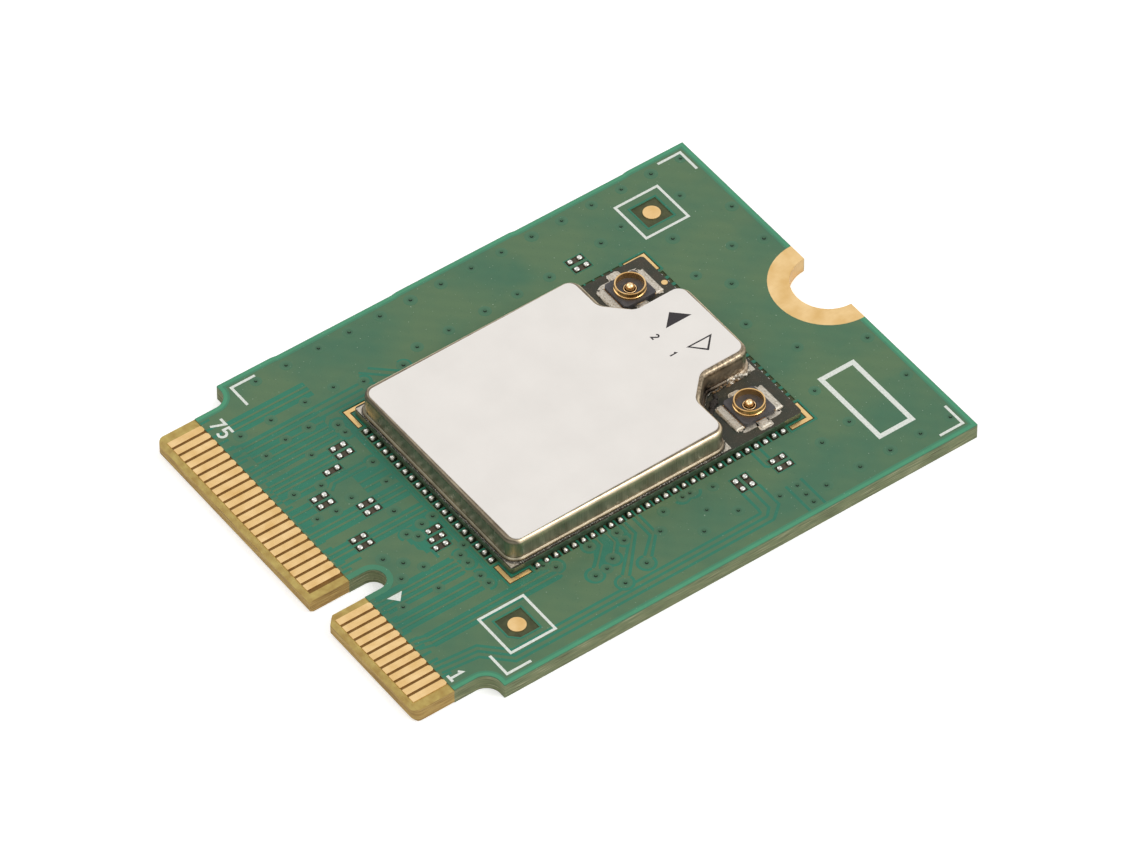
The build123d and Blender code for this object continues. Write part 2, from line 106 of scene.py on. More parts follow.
class Nodes:
    """A node tree under construction, with short calls for its usual nodes. Its colours are 8-bit."""

    def __init__(self, tree):
        self.tree = tree

    def add(self, kind, **settings):
        node = self.tree.nodes.new(kind)
        for key, value in settings.items():
            setattr(node, key, value)
        return node

    def link(self, source, target):
        self.tree.links.new(source, target)

    def put(self, value, socket):
        """Link a socket, or write a number or a display colour."""
        if isinstance(value, bpy.types.NodeSocket):
            self.link(value, socket)
        else:
            socket.default_value = linear(value) if isinstance(value, tuple) else value

    def axes(self, vector):
        """The three components of a vector."""
        node = self.add("ShaderNodeSeparateXYZ")
        self.link(vector, node.inputs["Vector"])
        return node.outputs

    def math(self, operation, first, second=0.0):
        node = self.add("ShaderNodeMath", operation=operation)
        self.put(first, node.inputs[0])
        self.put(second, node.inputs[1])
        return node.outputs[0]

    def product(self, *factors):
        """Factors multiplied together."""
        result = factors[0]
        for factor in factors[1:]:
            result = self.math("MULTIPLY", result, factor)
        return result

    def ramp(self, factor, *stops):
        """Colour ramp through (position, colour) stops."""
        node = self.add("ShaderNodeValToRGB")
        elements = node.color_ramp.elements
        while len(elements) < len(stops):
            elements.new(0.5)
        for element, (position, colour) in zip(elements, stops):
            element.position = position
            element.color = linear(colour)
        self.link(factor, node.inputs["Fac"])
        return node.outputs["Color"]

    def tones(self, factor, dark, light, margin=0.30):
        """Soft change between two colours over the middle of a factor."""
        return self.ramp(factor, (margin, dark), (1 - margin, light))

    def band(self, factor, low, high, out_low=0.0, out_high=1.0):
        """Range of a factor mapped to another range, clamped."""
        node = self.add("ShaderNodeMapRange")
        ends = {"From Min": low, "From Max": high, "To Min": out_low, "To Max": out_high}
        for key, value in ends.items():
            node.inputs[key].default_value = value
        self.link(factor, node.inputs["Value"])
        return node.outputs["Result"]

    def mix(self, factor, first, second):
        """Mix of two colours, each a socket or a display colour."""
        node = self.add("ShaderNodeMix", data_type="RGBA")
        for index, value in ((0, factor), (6, first), (7, second)):
            self.put(value, node.inputs[index])
        return node.outputs[2]

    def layered(self, base, *layers):
        """A colour with others laid over it in turn, each by a factor of its own."""
        for factor, colour in layers:
            base = self.mix(factor, base, colour)
        return base


class Surface(Nodes):
    """A material under construction."""

    def __init__(self, name, roughness=0.5, metallic=0.0, coat=0.0, specular=0.5):
        self.name = name
        self.material = bpy.data.materials.new(name)
        self.material.use_nodes = True
        super().__init__(self.material.node_tree)
        self.shader = self.tree.nodes["Principled BSDF"]
        for socket, value in (("Roughness", roughness), ("Metallic", metallic), ("Coat Weight", coat),
                              ("Coat Roughness", 0.12), ("Specular IOR Level", specular)):
            self.shader.inputs[socket].default_value = value
        place = self.add("ShaderNodeTexCoord")
        self.place = place.outputs["Object"]
        self.facing = place.outputs["Normal"]

    def stretched(self, scale):
        """Object coordinates in metres, times a scale on each axis."""
        mapping = self.add("ShaderNodeMapping")
        mapping.inputs["Scale"].default_value = scale
        self.link(self.place, mapping.inputs["Vector"])
        return mapping.outputs["Vector"]

    def noise(self, size, detail=3.0, stretch=(1, 1, 1)):
        """Noise whose features are about this size in millimetres, stretched along an axis by its share."""
        texture = self.add("ShaderNodeTexNoise")
        for key, value in (("Scale", 1.0), ("Detail", detail), ("Roughness", 0.5)):
            texture.inputs[key].default_value = value
        scale = tuple(1 / (size * mm * share) for share in stretch)
        self.link(self.stretched(scale), texture.inputs["Vector"])
        return texture.outputs["Fac"]

    def noise_band(self, size, detail, low, high, out_high=1.0):
        """Share of a fine noise that rises from 0 over one range of it."""
        return self.band(self.noise(size, detail), low, high, 0, out_high)

    def near(self, place, inner, outer):
        """Factor that is 1 within one distance of a place and 0 beyond another."""
        away = self.add("ShaderNodeVectorMath", operation="DISTANCE")
        self.link(self.place, away.inputs[0])
        away.inputs[1].default_value = place
        return self.band(away.outputs["Value"], inner, outer, 1.0, 0.0)

    def complete(self, colour, rough, bump=None):
        """Link colour, (factor, low, high) of roughness and (height, millimetres) of bump, and keep it."""
        finishes[self.name] = self.material
        self.link(colour, self.shader.inputs["Base Color"])
        factor, low, high = rough
        self.link(self.band(factor, 0.3, 0.7, low, high), self.shader.inputs["Roughness"])
        if bump:
            node = self.add("ShaderNodeBump")
            node.inputs["Strength"].default_value = 1.0
            node.inputs["Distance"].default_value = bump[1] * mm
            self.link(bump[0], node.inputs["Height"])
            self.link(node.outputs["Normal"], self.shader.inputs["Normal"])


def mottled(name, dark, light, size, roughness, spread=0.06, metallic=0.0, bump=0.0, specular=0.5):
    """Plain finish whose colour and gloss vary softly at one scale."""
    look = Surface(name, roughness, metallic, specular=specular)
    noise = look.noise(size)
    colour = look.tones(noise, dark, light)
    height = (look.noise(size / 4), bump) if bump else None
    look.complete(colour, (noise, roughness - spread, roughness + spread), height)


def coat_finish(name, deep, light):
    """Glossy green coat: cloudy tint, faint glass weave and a slightly uneven face."""
    look = Surface(name, 0.34, coat=0.10, specular=0.35)
    tint = look.ramp(look.noise(3.5, 4), (0.34, deep), (0.62, light))
    weave = look.add("ShaderNodeTexWave", wave_type="BANDS", bands_direction="DIAGONAL")
    weave.inputs["Scale"].default_value = 1.0
    weave.inputs["Distortion"].default_value = 1.5
    look.link(look.stretched((600, -600, 0)), weave.inputs["Vector"])
    dark = shaded(deep, 0.86)
    colour = look.layered(tint, (look.band(weave.outputs["Fac"], 0, 1, 0.0, 0.10), dark),
                          (look.noise_band(0.12, 2, 0.66, 0.74, 0.35), dark),
                          (look.noise_band(0.09, 1, 0.755, 0.775, 0.55), (176, 196, 176)))
    look.complete(colour, (look.noise(0.8), 0.28, 0.42), (look.noise(0.35, 2), 0.006))


def laminate_finish():
    """Carrier board: fibrous cut sides, coated underside, bare golden tongue, and painted shade between the
    fingers and in the coat's openings.
    """
    look = Surface("board_laminate", 0.62, specular=0.3)
    streaks = look.noise(0.05, 4, stretch=(24, 24, 1))
    side = look.ramp(streaks, (0.30, (84, 80, 54)), (0.46, (112, 124, 88)), (0.60, (132, 136, 100)),
                     (0.74, (184, 184, 152)))
    tongue_side = look.ramp(streaks, (0.30, (132, 100, 50)), (0.50, (172, 140, 78)),
                            (0.72, (198, 172, 108)))
    grain = look.noise(0.4)
    bare = look.tones(grain, (164, 134, 70), (190, 168, 96))
    # Painted shade: darker laminate between the fingers
    finger_gap_shade = look.tones(grain, (104, 72, 26), (126, 90, 36))
    # Painted shade: the laminate in the coat's openings, off the tongue, is darkened
    dark = look.tones(grain, (56, 60, 36), (78, 82, 52))
    below = look.tones(grain, coat_copper_deep, coat_copper)
    across, along, level = look.axes(look.place)
    on_tongue = look.math("LESS_THAN", along, coat_front)
    from_key = look.math("ABSOLUTE", look.math("SUBTRACT", across, key_slot_x))
    among_fingers = look.product(look.math("GREATER_THAN", along, contacts_low.y),
                                 look.math("GREATER_THAN", across, contacts_low.x),
                                 look.math("LESS_THAN", across, contacts_high.x),
                                 look.math("GREATER_THAN", from_key, key_land))
    flat_face = look.math("GREATER_THAN", look.math("ABSOLUTE", look.axes(look.facing)[2]), 0.5)
    underside = look.math("LESS_THAN", level, 0.02 * mm)
    top = look.mix(on_tongue, dark, look.mix(among_fingers, bare, finger_gap_shade))
    colour = look.mix(flat_face, look.mix(on_tongue, side, tongue_side), look.mix(underside, top, below))
    look.complete(colour, (streaks, 0.5, 0.75), (streaks, 0.02))


def drawn_metal():
    """Nickel silver of the can: streaks up the walls, soot by the right port, a painted crown highlight, and
    painted shade on the front walls, up-facing metal and foot.
    """
    look = Surface("shield_metal", 0.36, metallic=1.0)
    streaks = look.noise(0.04, 3, stretch=(1, 1, 40))
    patches = look.noise(0.7, 3, stretch=(1, 1, 4))
    across, along, level = look.axes(look.place)
    facing = look.axes(look.facing)
    # Painted shade: walls darker towards the foot
    foot_shade = look.band(level, wall_foot, wall_foot + 0.30 * mm, 1, 0)
    foot = wall_foot / mm

    def patched(dark, light):
        return look.tones(patches, dark, light, 0.34)

    bright = look.layered(
        patched((160, 151, 130), (186, 177, 154)),
        (look.band(streaks, 0.46, 0.66, 0, 0.40), (116, 106, 88)),
        # Painted highlight along the crown
        (look.band(level, 2.00 * mm, 2.22 * mm), patched((206, 188, 158), (238, 218, 186))),
        (foot_shade, patched((136, 120, 100), (152, 137, 116))))
    # Painted shade: the front walls as a darker copy of the metal, with a painted dark line along their
    # crown and painted shade at the foot
    front = look.layered(
        patched((140, 137, 116), (172, 165, 142)),
        (look.band(streaks, 0.50, 0.70, 0, 0.35), (178, 170, 148)),
        (look.band(level, 2.15 * mm, 2.35 * mm), (74, 69, 57)),
        (foot_shade, (66, 58, 47)))

    beside_port = look.product(look.band(along, neck_start, neck_start + 0.4 * mm),
                               look.band(across, 1.6 * mm, 2.2 * mm))

    def by_port(low, high, at_low, at_high, *others):
        """Factor on the neck's wall that changes between two levels in millimetres."""
        return look.product(beside_port, look.band(level, low * mm, high * mm, at_low, at_high), *others)

    tarnished = look.tones(look.noise(0.14, 4), (114, 102, 85), (172, 155, 131), 0.38)
    soot = look.noise_band(0.22, 5, 0.42, 0.58, 0.55)
    splash = look.noise_band(0.10, 4, 0.54, 0.59, 0.7)
    to_front = look.band(along, 7.2 * mm, 7.7 * mm, 1, 0)
    charred = look.product(look.near(char_place, 0.20 * mm, 0.55 * mm),
                           look.noise_band(0.2, 4, 0.36, 0.50))
    colour = look.layered(
        # Front-facing walls take the copy in painted shade
        look.mix(look.band(facing[1], -0.35, -0.12, 1, 0), bright, front),
        # Painted shade on the up-facing metal
        (look.band(facing[2], 0.82, 0.96), patched((112, 100, 84), (148, 136, 116))),
        # Painted highlight along the neck's crown
        (by_port(2.15, 2.30, 0.65, 0), (206, 186, 162)),
        (by_port(2.06, 2.20, 0, 0.95), tarnished),
        (by_port(1.7, 2.25, 1, 0, soot), (134, 117, 97)),
        (by_port(1.3, 2.1, 1, 0, splash), (206, 196, 178)),
        (by_port(foot + 0.18, foot + 0.30, 0.85, 0, to_front), (56, 48, 40)),
        (charred, (30, 25, 22)))
    look.complete(colour, (streaks, 0.26, 0.46), (streaks, 0.004))


def gold_finish(name, roughness, deep, pale, worn):
    """Thin gold plating with a soft grain and a few rubbed lines."""
    look = Surface(name, roughness, metallic=1.0)
    cloud = look.noise(0.8, 3)
    rubbed = look.band(look.noise(0.05, 2, stretch=(1, 30, 1)), 0.55, 0.75, 0, 0.12)
    look.complete(look.mix(rubbed, look.tones(cloud, deep, pale), worn),
                  (cloud, roughness - 0.05, roughness + 0.05), (look.noise(0.10), 0.0004))


def solder_finish():
    """Solder with a painted highlight on its upward faces and painted shade down its sides."""
    look = Surface("solder", 0.18, metallic=1.0)
    grain = look.noise(0.06)
    # Painted highlight on the upward faces
    top = look.ramp(grain, (0.32, (150, 149, 142)), (0.45, (214, 213, 208)), (0.6, (244, 244, 240)))
    # Painted shade down the sides
    foot = look.tones(grain, (92, 90, 80), (150, 147, 136))
    upward = look.band(look.axes(look.facing)[2], 0.70, 0.99)
    look.complete(look.mix(upward, foot, top), (grain, 0.12, 0.26), (grain, 0.004))


def dull_solder_finish():
    """Hand-soldered tabs: frosty grey with brown flux in the hollows."""
    look = Surface("solder_frosted", 0.45, metallic=1.0)
    grain = look.noise(0.09, 4)
    colour = look.ramp(grain, (0.30, (150, 138, 120)), (0.44, (188, 180, 166)), (0.66, (210, 203, 191)))
    look.complete(colour, (grain, 0.4, 0.6), (grain, 0.008))


def module_finish():
    """Dark module board: brownish top, deep green sides with a painted highlight along their top edge, and
    flecks of flux beside the can.
    """
    look = Surface("module_laminate", 0.42, coat=0.06, specular=0.3)
    grain = look.noise(0.5)
    # Painted highlight along the top edge of the sides
    painted_rim_highlight = look.band(look.axes(look.place)[2], module_high.z - 0.07 * mm, module_high.z, 0, 0.8)
    side = look.mix(painted_rim_highlight, look.tones(grain, (48, 70, 52), (72, 88, 64)), (92, 124, 98))
    burnt = look.product(look.near(soot_place, 0.6 * mm, 1.8 * mm), look.noise_band(0.3, 4, 0.40, 0.55))
    top = look.mix(burnt, look.tones(grain, (42, 46, 34), (60, 54, 42)), (22, 30, 24))
    upward = look.math("GREATER_THAN", look.axes(look.facing)[2], 0.5)
    flecks = look.noise_band(0.05, 2, 0.66, 0.70, 0.5)
    colour = look.mix(flecks, look.mix(upward, side, top), (150, 150, 136))
    look.complete(colour, (grain, 0.32, 0.5), (look.noise(0.08), 0.004))


def bead_finish():
    """Flux and solder squeezed out under the can's foot."""
    look = Surface("foot_bead", 0.25)
    grain = look.noise(0.06, 4)
    colour = look.ramp(grain, (0.34, (26, 34, 28)), (0.50, (58, 52, 40)), (0.60, (104, 96, 82)),
                       (0.68, (206, 202, 190)))
    look.complete(colour, (grain, 0.15, 0.4), (grain, 0.02))


# Name, light colour, and the share of it that gives the deep one
thin_coats = (
    ("coat_over_gap", (36, 118, 92), 0.92),
    ("coat_at_edge", (70, 148, 110), 0.94),
    ("coat_by_edge", (64, 128, 96), 0.95),
    # Painted shade round the via pits
    ("coat_near_via", (60, 104, 76), 0.92),
    ("coat_round_via", (68, 112, 82), 0.95),
)
# Name, roughness, and the deep, pale and rubbed colours
golds = (
    ("contact_gold", 0.36, (224, 184, 120), (238, 205, 150), (196, 150, 88)),
    ("pin_gold", 0.26, (218, 188, 140), (240, 214, 170), (150, 112, 64)),
    ("port_gold", 0.30, (214, 168, 104), (238, 200, 142), (150, 104, 52)),
    # Painted shade: a darkened copy of the pin gold, for the hollow and post of the pins
    ("pin_gold_in_shade", 0.35, (96, 66, 34), (128, 90, 50), (70, 48, 26)),
)
# Name, dark and light colours, size of the grain in millimetres, roughness, and what differs from the usual
plain = (
    ("print_white", (206, 212, 202), (230, 233, 226), 0.10, 0.7, {"bump": 0.004}),
    ("label_film", (229, 224, 218), (234, 229, 223), 2, 0.5, {"spread": 0.03, "bump": 0.001,
                                                              "specular": 0.3}),
    ("port_moulding", (58, 56, 58), (78, 76, 78), 0.3, 0.5, {"bump": 0.004}),
    ("chip_resin", (45, 45, 47), (60, 60, 62), 0.3, 0.6, {}),
    ("ceramic", (150, 120, 85), (170, 140, 105), 0.2, 0.6, {}),
    ("crystal_cap", (190, 180, 165), (205, 196, 180), 0.2, 0.3, {"metallic": 1.0}),
    ("flux_crust", (84, 62, 36), (150, 120, 82), 0.05, 0.4, {"bump": 0.01}),
    ("soot_crust", (20, 18, 16), (52, 44, 36), 0.05, 0.6, {"bump": 0.02}),
    # Painted shade in the via pits and painted light on their far side
    ("via_pit", (8, 16, 10), (22, 38, 26), 0.05, 0.4, {"specular": 0.15}),
    ("via_far_side_light", (52, 90, 64), (66, 104, 74), 0.05, 0.4, {"specular": 0.25}),
    # Painted shade for the floors of the coat's openings
    ("window_floor_shade", (44, 36, 20), (70, 58, 36), 0.10, 0.5, {}),
    ("ink", (38, 34, 36), (56, 52, 54), 0.05, 0.6, {"specular": 0.3}),
)
laminate_finish()
drawn_metal()
module_finish()
solder_finish()
dull_solder_finish()
bead_finish()
coat_finish("mask_green", coat_copper_deep, coat_copper)
for name, light, share in thin_coats:
    coat_finish(name, shaded(light, share), light)
for row in golds:
    gold_finish(*row)
for *row, rest in plain:
    mottled(*row, **rest)

# Solids with a finish other than their slot's
own_finishes = dict.fromkeys(("left_port_solder", "right_port_solder", "shield_seat"), "solder_frosted")
own_finishes |= dict.fromkeys(("left_port_shell", "right_port_shell"), "port_gold")
for row in frame["record"]["subparts"]:
    mesh = nodes[row["node"]].data
    mesh.materials.clear()
    mesh.materials.append(finishes[own_finishes.get(row["node"], row["material_slot"])])


def rounded(around, power=2):
    """Unit outline in plan that goes from a circle towards a square as its power grows."""
    outline = []
    for step in range(around):
        angle = 2 * math.pi * step / around
        across, along = math.cos(angle), math.sin(angle)
        size = (abs(across) ** power + abs(along) ** power) ** (-1 / power)
        outline.append((across * size, along * size))
    return outline


def placed(name, data):
    """New object in the scene."""
    item = bpy.data.objects.new(name, data)
    bpy.context.scene.collection.objects.link(item)
    return item


class Shape:
    """Points and faces gathered for one piece, with a material number for each face."""

    def __init__(self):
        self.points = []
        self.faces = []
        self.marks = []

    def add(self, points, faces, marks):
        first = len(self.points)
        self.points += points
        self.faces += [tuple(first + index for index in face) for face in faces]
        self.marks += marks

    def sweep(self, line, profile, closed=False, mark=0):
        """Closed strip along a plan line; the profile's points are (distance to the left, level)."""
        self.strip(line, [profile] * len(line), closed, mark)

    def coat_line(self, line, half, rise, closed=False, mark=0):
        """Low strip on the coat, centred on a plan line."""
        self.sweep(line, coat_strip(half, -half, rise), closed, mark)

    def strip(self, line, profiles, closed=False, mark=0):
        """Closed strip with a profile of its own at each point of the line."""
        count, size = len(line), len(profiles[0])
        points = []
        for index, ((x, y), profile) in enumerate(zip(line, profiles)):
            before = line[index - 1] if closed or index > 0 else None
            after = line[(index + 1) % count] if closed or index < count - 1 else None
            side_x, side_y = mitre(before, (x, y), after)
            points += [(x + side_x * away, y + side_y * away, level) for away, level in profile]
        faces = []
        for index in range(count if closed else count - 1):
            here, there = index * size, (index + 1) % count * size
            for step in range(size):
                other = (step + 1) % size
                faces.append((here + step, there + step, there + other, here + other))
        if not closed:
            faces.append(tuple(range(size)))
            faces.append(tuple((count - 1) * size + step for step in reversed(range(size))))
        self.add(points, faces, [mark] * len(faces))

    def stack(self, lowest, rings, highest, marks):
        """Closed form of rings between a lowest and a highest point, with a mark for each band."""
        around = len(rings[0])
        rows = [[0] * around]
        rows += [range(1 + index * around, 1 + (index + 1) * around) for index in range(len(rings))]
        rows.append([1 + len(rings) * around] * around)
        faces = []
        for here, there in zip(rows, rows[1:]):
            for step in range(around):
                other = (step + 1) % around
                corners = (here[step], here[other], there[other], there[step])
                faces.append(tuple(dict.fromkeys(corners)))
        points = [lowest, *(point for ring in rings for point in ring), highest]
        self.add(points, faces, [mark for mark in marks for step in range(around)])

    def dome(self, x, y, low, high, half_x, half_y, square=2.0, turn=0.0, mark=0):
        """Mound on a plan that goes from an ellipse towards a rectangle as square grows."""
        outline = rounded(16, square)
        count = 6
        rings = []
        for index in range(count):
            slope = math.pi / 2 * index / count
            share = math.cos(slope) ** 0.8
            level = low + (high - low) * math.sin(slope) ** 0.9
            ring = []
            for across, along in outline:
                across, along = half_x * share * across, half_y * share * along
                ring.append((x + across * math.cos(turn) - along * math.sin(turn),
                             y + across * math.sin(turn) + along * math.cos(turn), level))
            rings.append(ring)
        self.stack((x, y, low), rings, (x, y, high), [mark] * (count + 1))

    def turned(self, x, y, profile, marks, around=12):
        """Round form from (radius, level) rings that start and end on its axis."""
        rings = [[(x + radius * across, y + radius * along, level) for across, along in rounded(around)]
                 for radius, level in profile[1:-1]]
        self.stack((x, y, profile[0][1]), rings, (x, y, profile[-1][1]), marks)

    def plate(self, outline, low, high, mark=0):
        """Closed plate on a convex outline that runs anticlockwise."""
        count = len(outline)
        points = [(x, y, low) for x, y in outline] + [(x, y, high) for x, y in outline]
        faces = [tuple(reversed(range(count))), tuple(range(count, 2 * count))]
        for step in range(count):
            other = (step + 1) % count
            faces.append((step, other, count + other, count + step))
        self.add(points, faces, [mark] * len(faces))

    def block(self, box, low, high, mark=0):
        """Closed plate on a plan box."""
        self.plate(box_corners(box), low, high, mark)

    def piece(self, name, slot, *looks, smooth=False):
        """Make the piece, in its slot's finish or in its own ones, and let it ride on the card."""
        mesh = bpy.data.meshes.new(name)
        mesh.from_pydata([tuple(point) for point in self.points], [], self.faces)
        for look in looks or (slot,):
            mesh.materials.append(finishes[look])
        mesh.polygons.foreach_set("material_index", self.marks)
        mesh.polygons.foreach_set("use_smooth", [smooth] * len(self.faces))
        mesh.validate()
        item = placed(name, mesh)
        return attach(item, "root")


def mitre(before, point, after):
    """Leftward direction at a point of a plan line, lengthened so that a strip keeps its width."""
    lefts = []
    for start, end in ((before, point), (point, after)):
        if start and end and start != end:
            lefts.append(Vector((start[1] - end[1], end[0] - start[0])).normalized())
    middle = sum(lefts, Vector((0, 0))).normalized()
    return middle / max(middle.dot(lefts[0]), 0.5)


def welded(node, tolerance=0.001 * mm):
    """Editable copy of a solid, its facets joined at their corners."""
    work = bmesh.new()
    work.from_mesh(nodes[node].data)
    bmesh.ops.remove_doubles(work, verts=work.verts, dist=tolerance)
    return work


def plan_loops(node, level, tolerance=0.001 * mm):
    """Closed outlines of a solid's flat faces at one level, longest first."""
    work = welded(node, tolerance)
    flat = [face for face in work.faces if all(abs(vert.co.z - level) < tolerance for vert in face.verts)]
    inside = set(flat)
    links = {}
    for face in flat:
        for loop in face.loops:
            if sum(other in inside for other in loop.edge.link_faces) == 1:
                links.setdefault(loop.vert, []).append(loop.link_loop_next.vert)
    loops = []
    while links:
        start = next(iter(links))
        line = []
        vert = start
        while vert in links:
            line.append((vert.co.x, vert.co.y))
            following = links[vert].pop()
            if not links[vert]:
                del links[vert]
            vert = following
        loops.append(line)
    work.free()
    return sorted(loops, key=loop_length, reverse=True)


def loop_length(line):
    return sum(math.dist(line[index - 1], line[index]) for index in range(len(line)))


def coat_strip(left, right, rise):
    """Profile of a low strip on the coat between two distances from its line, with eased edges."""
    ease = rise * 1.5
    sunk, top = coat_top - rise, coat_top + rise
    return [(right, sunk), (right + ease, top), (left - ease, top), (left, sunk)]


def scaled(points):
    """Plan points in millimetres, as metres."""
    return [(x * mm, y * mm) for x, y in points]


def ring_line(x, y, radius, start=0.0, end=360.0, step=20.0):
    """Points of an arc in plan, in millimetres, angles in degrees."""
    count = max(2, round(abs(end - start) / step))
    angles = [math.radians(start + (end - start) * index / count) for index in range(count + 1)]
    return [(x + radius * math.cos(angle), y + radius * math.sin(angle)) for angle in angles]


def box_corners(box):
    """Corners of a plan box, anticlockwise."""
    left, low, right, high = box
    return [(left, low), (right, low), (right, high), (left, high)]


lowest_rise = 0.0010
rise_step = 0.0003
rise_count = 18


def stacked(index, base=lowest_rise):
    """Rise of one strip of many, so that two that cross don't lie in one plane."""
    return (base + index % rise_count * rise_step) * mm


def squared(line):
    """Plan line with the board's tiny corner arcs drawn together to a point."""
    shoulder = -11.0 * mm
    reach = 0.07 * mm
    points = []
    for x, y in line:
        for corner_y in (cad_high.y, shoulder):
            if abs(abs(x) - cad_high.x) < reach and abs(y - corner_y) < reach:
                x, y = math.copysign(cad_high.x, x), corner_y
        if not points or math.dist(points[-1], (x, y)) > 0.001 * mm:
            points.append((x, y))
    return points


side_traces = (
    ((6.4, -0.55), (7.7, -0.55), (8.9, -1.8)),
    ((6.4, -1.3), (7.2, -1.3), (9.25, -3.25)),
    ((6.4, -2.2), (7.1, -2.2), (7.8, -2.85)),
    ((6.4, -2.75), (6.9, -2.75), (8.15, -4.05)),
)


def window_boxes(margin):
    """Plan boxes (left, low, right, high) of the openings in the coat, with a margin."""
    boxes = []
    for line in plan_loops("solder_mask", coat_top)[1:]:
        xs = [x for x, y in line]
        ys = [y for x, y in line]
        boxes.append((min(xs) - margin, min(ys) - margin, max(xs) + margin, max(ys) + margin))
    return boxes


def without(box, holes):
    """Rectangles that cover a box except its holes."""
    left, low, right, high = box
    if right <= left or high <= low:
        return []
    for hole_left, hole_low, hole_right, hole_high in holes:
        if hole_left < right and hole_right > left and hole_low < high and hole_high > low:
            under, over = max(low, hole_low), min(high, hole_high)
            parts = ((left, low, right, under), (left, over, right, high), (left, under, hole_left, over),
                     (hole_right, under, right, over))
            return [piece for part in parts for piece in without(part, holes)]
    return [box]


def copper_free_areas():
    """Patches with no copper under the coat, and the narrow traces that cross them."""
    # Left, low, right and high of each patch, and the x of its traces, in millimetres
    areas = (
        ((-8.90, -11.90, -7.98, -7.75), (-8.62, -8.30)),
        ((-7.36, -12.20, -5.12, -8.35), (-7.17, -6.83, -6.42, -6.02, -5.67, -5.36)),
        ((-4.85, -12.60, -3.20, -9.25), (-4.54, -4.25, -3.98, -3.50)),
        ((-2.92, -9.25, -1.72, -7.78), (-2.42, -2.02)),
        ((-2.80, -12.80, -1.60, -11.70), (-2.48, -2.00)),
        ((-1.45, -12.80, -0.50, -7.78), (-1.15, -0.85)),
        ((0.08, -12.80, 0.95, -7.78), (0.33, 0.63)),
        ((3.50, -12.60, 4.72, -8.60), (3.87, 4.15, 4.46)),
        ((5.02, -12.70, 5.98, -8.40), (5.33, 5.68)),
        ((6.52, -12.10, 7.42, -5.30), (6.80, 7.12)),
        ((1.02, -9.50, 1.95, -7.78), ()),
        ((1.95, -9.25, 2.75, -7.78), ()),
    )
    side_area = ((6.5, -3.0), (7.75, -3.75), (8.1, -3.1), (7.85, -2.6), (7.2, -2.05), (6.5, -2.05))
    sunk = coat_top - 0.002 * mm
    area_top, side_top, crossing_top = (coat_top + rise * mm for rise in (0.0005, 0.0008, 0.0066))
    half_trace = 0.055 * mm
    holes = window_boxes(0.02 * mm)
    shape = Shape()
    for area, traces in areas:
        left, low, right, high = (edge * mm for edge in area)
        for box in without((left, low, right, high), holes):
            shape.block(box, sunk, area_top)
        for x in traces:
            for box in without((x * mm - half_trace, low, x * mm + half_trace, high), holes):
                shape.block(box, sunk, crossing_top, mark=1)
    shape.plate(scaled(side_area), sunk, side_top)
    for route in side_traces:
        shape.coat_line(scaled(route), half_trace, 0.0070 * mm, mark=1)
    shape.piece("copper_free_areas", "mask_green", "coat_over_gap", "mask_green")


def columns(xs, *levels):
    """Lines along y through the same levels, one at each x."""
    return [[(x, y) for y in levels] for x in xs]


def rings_at(places, radius, start, end):
    """Equal arcs round several places."""
    return [ring_line(x, y, radius, start, end) for x, y in places]


def tongue_routes():
    """Clearances between the module and the edge contacts, in millimetres."""
    front = -12.75
    routes = columns((-8.85, -8.42, -8.19), -7.8, -12.0)
    routes += [[(x, -5.8), (x, -11.9), (x - 0.10, front)] for x in (-7.35, -7.0, -6.65)]
    routes += [
        [(-6.65, -8.1), (-6.19, -8.65), (-6.19, -11.15)],
        ring_line(-6.19, -11.57, 0.40, 90, 400),
        [(-6.3, -8.0), (-5.81, -8.5), (-5.81, front)],
        *columns((-5.54, -5.19), -8.3, front),
        ring_line(-5.85, -7.92, 0.38, 60, 300),
        ring_line(-5.27, -7.92, 0.38, -120, 120),
        [(-4.81, -9.3), (-4.81, -11.2), (-4.27, -11.85), (-4.27, front)],
        [(-4.23, -9.3), (-4.23, -11.03), (-3.73, -11.6), (-3.73, front)],
        ring_line(-3.08, -8.0, 0.40, -60, 240),
        [(-3.35, -8.4), (-3.35, -10.2), (-3.05, -10.55)],
        [(-3.04, -8.4), (-3.04, -10.1), (-2.75, -10.45)],
        *columns((-2.65, -2.2, -1.85), -7.45, -9.1),
        *columns((-2.75, -2.25, -1.75), -11.7, front),
    ]
    for x in (-1.3, -1.0, -0.7):
        routes += [[(x, -7.6), (x, -8.9)], [(x - 0.1, -10.3), (x - 0.1, front)]]
    routes += columns((0.2, 0.45, 0.8), -7.45, -10.6)
    routes += columns((0.25, 0.75, 1.25), -11.7, front)
    routes += rings_at(((1.2, -8.4), (1.7, -8.95), (1.35, -9.3)), 0.36, 20, 300)
    routes.append([(1.55, -9.3), (2.3, -9.35), (2.75, -8.95), (3.25, -8.95)])
    for x in (3.72, 4.30):
        routes += [ring_line(x - 0.01, -8.1, 0.36, -60, 240), [(x, -8.5), (x, front)],
                   [(x + 0.30, -8.5), (x + 0.30, -12.35)]]
    routes += columns((5.15, 5.5, 5.85), -8.4, front)
    routes += rings_at(((5.2, -8.1), (5.75, -8.1)), 0.36, -20, 200)
    for x, top in ((6.65, -5.6), (6.95, -5.3), (7.3, -5.2)):
        routes.append([(x, top), (x, -12.0), (x - 0.2, front)])
    routes += [ring_line(6.7, -5.13, 0.40, -20, 230), ring_line(6.35, -5.58, 0.34, 60, 260)]
    for index, x in enumerate((9.52, 9.83, 10.15)):
        top, low, foot = 4.0 + 0.13 * index, -9.5 - 0.13 * index, 8.2 + 0.3 * index
        routes.append([(x, top), (x, low), (foot + 0.2, low - (x - foot - 0.2)), (foot, front)])
    return routes


